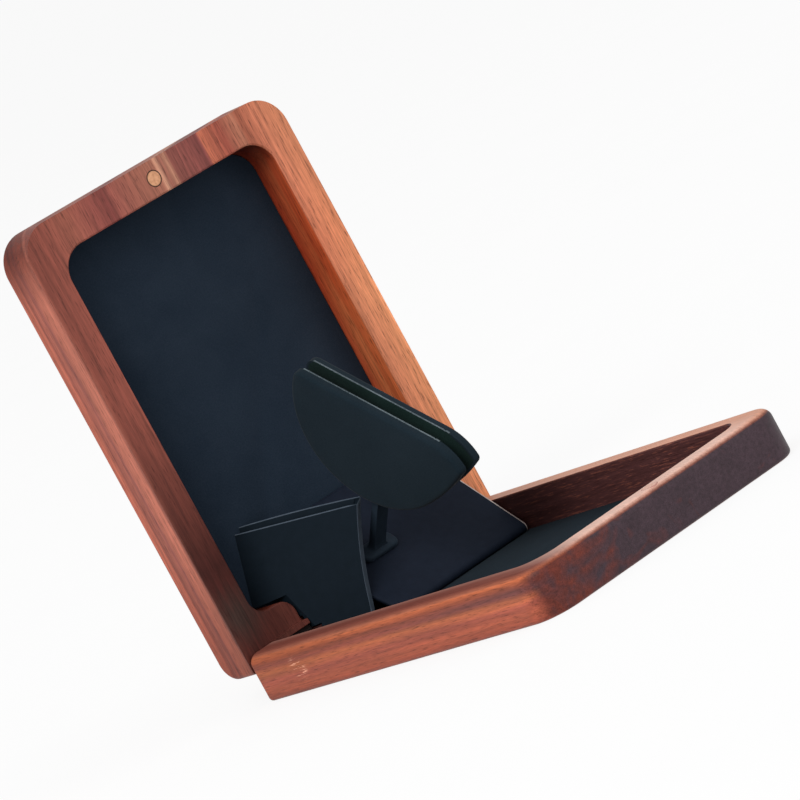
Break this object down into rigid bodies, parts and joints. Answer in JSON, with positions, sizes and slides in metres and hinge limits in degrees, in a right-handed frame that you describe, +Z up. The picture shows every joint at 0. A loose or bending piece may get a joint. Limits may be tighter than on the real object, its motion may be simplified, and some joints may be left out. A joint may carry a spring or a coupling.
{
  "type": "rotating ring box",
  "caption": "Slim hinged hardwood ring box, open at a right angle, with a slotted suede pad that swings up and turns as the lid opens.",
  "frame": {"origin": "middle of the base's flat underside, where the box rests", "axes": "+Z up; +Y along the box towards the hinge; +X across the box along the hinge, to the right when the open box is seen from its free end; the lid stands up behind the base at rest"},
  "size_m": [0.06, 0.0916, 0.0882],
  "materials": {
    "hardwood": "oiled reddish-brown walnut, fine straight grain along the box",
    "plug_wood": "pale end-grain dowel, sanded flush",
    "suede": "very dark navy-teal suede, short nap",
    "leather": "very dark navy smooth leather with lighter burnished cut edges",
    "greyboard": "plain pressed greyboard, hidden under the suede",
    "steel": "drawn steel wire",
    "magnet": "nickel-plated magnet disc, hidden under its plug"
  },
  "bodies": {
    "base": {"base_shell": "hardwood", "base_lining_card": "greyboard", "base_lining": "suede", "base_magnet": "magnet", "base_magnet_plug": "plug_wood", "hinge_pin_left": "steel", "hinge_pin_right": "steel", "hinge_band": "leather"},
    "lid": {"lid_shell": "hardwood", "lid_lining_card": "greyboard", "lid_lining": "suede", "lid_magnet": "magnet", "lid_magnet_plug": "plug_wood", "lid_strap": "leather"},
    "carrier": {"pad_stem": "leather", "swivel_rivet": "steel"},
    "pad": {"pad_core": "greyboard", "pad_edge_strip": "suede", "slot_lining": "suede", "pad_board_front": "greyboard", "pad_board_back": "greyboard", "pad_cover_front": "suede", "pad_cover_back": "suede"}
  },
  "joints": [
    {"name": "lid_hinge", "type": "hinge", "parent": "base", "child": "lid", "pos_m": [0, 0.0398, 0.0069], "axis": [1, 0, 0], "range_deg": [0, 90], "deforming": ["hinge_band", "lid_strap"]},
    {"name": "carrier_swing", "type": "hinge", "parent": "base", "child": "carrier", "pos_m": [0, 0.0398, 0.0069], "axis": [1, 0, 0], "range_deg": [0, 45]},
    {"name": "pad_twist", "type": "hinge", "parent": "carrier", "child": "pad", "pos_m": [0, 0.04065, 0.00775], "axis": [0, -0.7071, 0.7071], "range_deg": [0, 83.5]}
  ],
  "couplings": [
    {"joint": "carrier_swing", "follows": "lid_hinge", "ratio": 0.5},
    {"joint": "pad_twist", "follows": "lid_hinge", "ratio": 0.92777}
  ]
}
